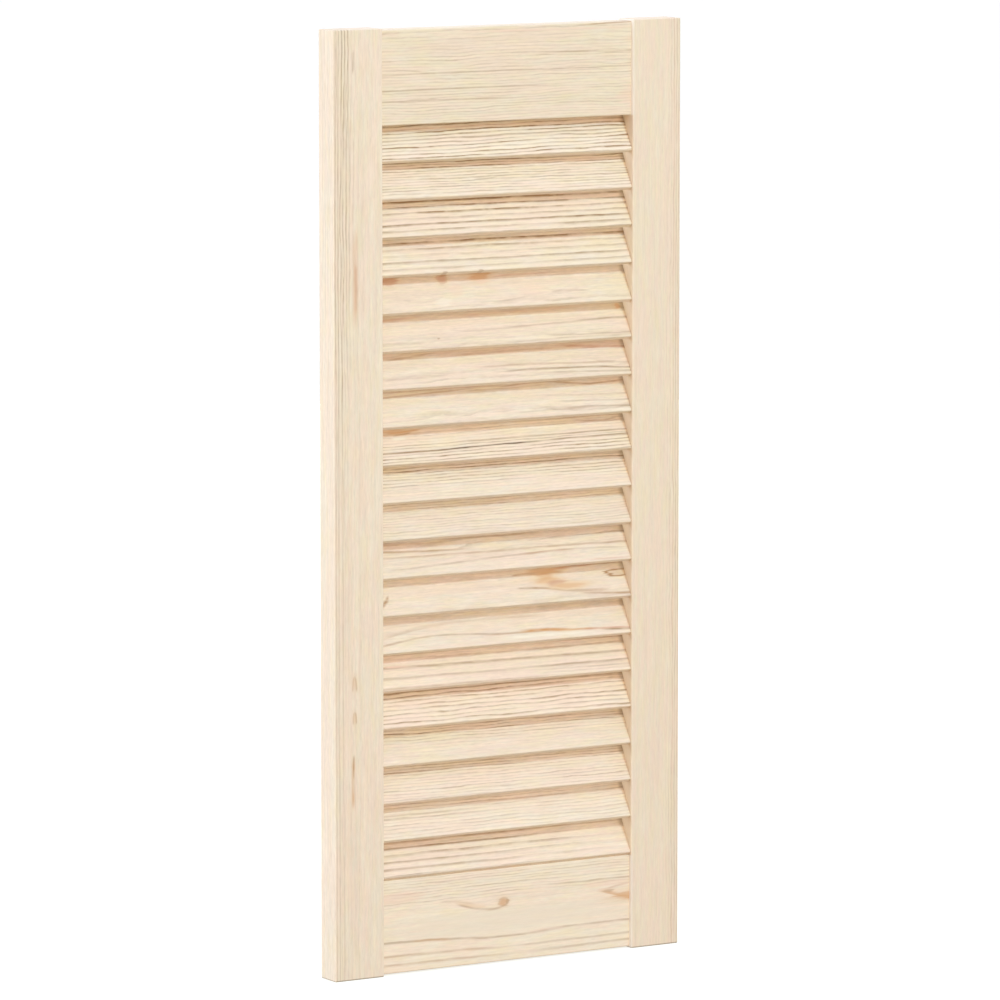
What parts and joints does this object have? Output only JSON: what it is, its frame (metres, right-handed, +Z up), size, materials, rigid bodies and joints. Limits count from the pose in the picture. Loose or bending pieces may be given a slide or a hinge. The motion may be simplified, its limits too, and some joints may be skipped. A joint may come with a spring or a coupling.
{
  "type": "louvred cabinet door",
  "caption": "Tall narrow pine frame door filled with fixed slanted louvre slats, for closing a cabinet while letting air through.",
  "frame": {"origin": "under the middle of the door, on the plane of its lower end", "axes": "+X to the right across the front, +Y from the front to the back, +Z up"},
  "size_m": [0.294, 0.021, 0.69],
  "materials": {
    "pine_stile": "sanded, untreated",
    "pine_rail": "sanded, untreated",
    "pine_slat": "planed, untreated",
    "beech_dowel": "turned"
  },
  "bodies": {
    "root": {"left_stile": "pine_stile", "right_stile": "pine_stile", "bottom_rail": "pine_rail", "top_rail": "pine_rail", "corner_dowels": "beech_dowel", "slat_01": "pine_slat", "slat_02": "pine_slat", "slat_03": "pine_slat", "slat_04": "pine_slat", "slat_05": "pine_slat", "slat_06": "pine_slat", "slat_07": "pine_slat", "slat_08": "pine_slat", "slat_09": "pine_slat", "slat_10": "pine_slat", "slat_11": "pine_slat", "slat_12": "pine_slat", "slat_13": "pine_slat", "slat_14": "pine_slat", "slat_15": "pine_slat", "slat_16": "pine_slat", "slat_17": "pine_slat", "slat_18": "pine_slat", "slat_19": "pine_slat", "slat_20": "pine_slat"}
  },
  "joints": []
}
